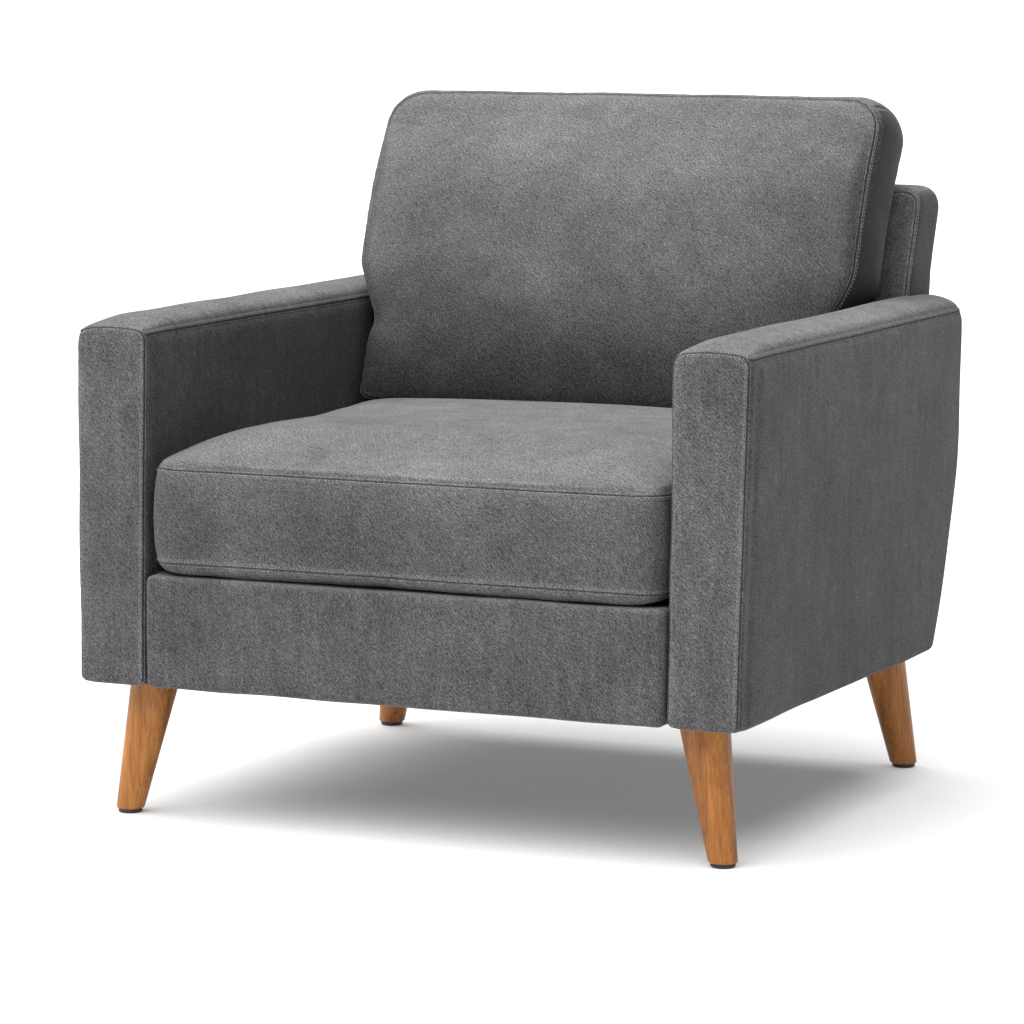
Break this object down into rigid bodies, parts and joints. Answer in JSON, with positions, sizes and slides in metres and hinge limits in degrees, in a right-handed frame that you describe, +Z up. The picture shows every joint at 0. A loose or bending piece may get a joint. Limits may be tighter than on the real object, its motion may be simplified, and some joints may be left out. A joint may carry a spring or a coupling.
{
  "type": "upholstered armchair",
  "caption": "Low upholstered armchair with square-fronted arms, a loose boxed seat cushion, a loose leaning back cushion and splayed round tapered wooden legs.",
  "frame": {"origin": "on the floor, under the middle of the chair's box", "axes": "+Z up, -Y the way the chair faces, +X to the right of a viewer who faces the chair"},
  "size_m": [0.864, 0.7981, 0.8455],
  "materials": {
    "upholstery": "matte",
    "foam": "matte",
    "deck_cloth": "matte",
    "dust_cloth": "matte",
    "leg_wood": "satin",
    "glide_nylon": "matte",
    "steel": "satin",
    "zip_metal": "satin",
    "zip_tape": "matte",
    "webbing": "matte",
    "board": "matte",
    "frame_timber": "matte"
  },
  "bodies": {
    "frame": {"arm_bolts": "steel", "arm_bottom_rail_left": "frame_timber", "arm_bottom_rail_right": "frame_timber", "arm_cover_left": "upholstery", "arm_cover_right": "upholstery", "arm_foam_left": "foam", "arm_foam_right": "foam", "arm_front_post_left": "frame_timber", "arm_front_post_right": "frame_timber", "arm_inner_panel_left": "board", "arm_inner_panel_right": "board", "arm_outer_panel_left": "board", "arm_outer_panel_right": "board", "arm_rear_post_left": "frame_timber", "arm_rear_post_right": "frame_timber", "arm_top_rail_left": "frame_timber", "arm_top_rail_right": "frame_timber", "back_bolts": "steel", "back_bottom_rail": "frame_timber", "back_cover": "upholstery", "back_foam": "foam", "back_middle_rail": "frame_timber", "back_post_left": "frame_timber", "back_post_right": "frame_timber", "back_top_rail": "frame_timber", "back_webbing": "webbing", "dust_cover": "dust_cloth", "front_panel_cover": "upholstery", "front_panel_foam": "foam", "leg_front_left": "leg_wood", "leg_front_right": "leg_wood", "leg_glides": "glide_nylon", "leg_hanger_bolts": "steel", "leg_plate_screws": "steel", "leg_plates": "steel", "leg_rear_left": "leg_wood", "leg_rear_right": "leg_wood", "seat_corner_blocks": "frame_timber", "seat_deck_cover": "deck_cloth", "seat_deck_pad": "foam", "seat_front_rail": "frame_timber", "seat_rear_rail": "frame_timber", "seat_side_rail_left": "frame_timber", "seat_side_rail_right": "frame_timber", "sinuous_springs": "steel", "spring_clips": "steel"},
    "seat_cushion": {"seat_cushion_cover": "upholstery", "seat_cushion_filling": "foam", "seat_cushion_zip_tape": "zip_tape"},
    "seat_zip": {"seat_cushion_zip_slider": "zip_metal"},
    "back_cushion": {"back_cushion_cover": "upholstery", "back_cushion_filling": "foam", "back_cushion_zip_tape": "zip_tape"},
    "back_zip": {"back_cushion_zip_slider": "zip_metal"}
  },
  "joints": [
    {"name": "seat_cushion_slide", "type": "slide", "parent": "frame", "child": "seat_cushion", "axis": [0, -1, 0], "range_m": [0, 0.5]},
    {"name": "back_cushion_lift", "type": "slide", "parent": "frame", "child": "back_cushion", "axis": [0, 0.3535, 0.9354], "range_m": [0, 0.35]},
    {"name": "seat_zip_run", "type": "slide", "parent": "seat_cushion", "child": "seat_zip", "axis": [1, 0, 0], "range_m": [0, 0.43]},
    {"name": "back_zip_run", "type": "slide", "parent": "back_cushion", "child": "back_zip", "axis": [1, 0, 0], "range_m": [0, 0.43]}
  ]
}
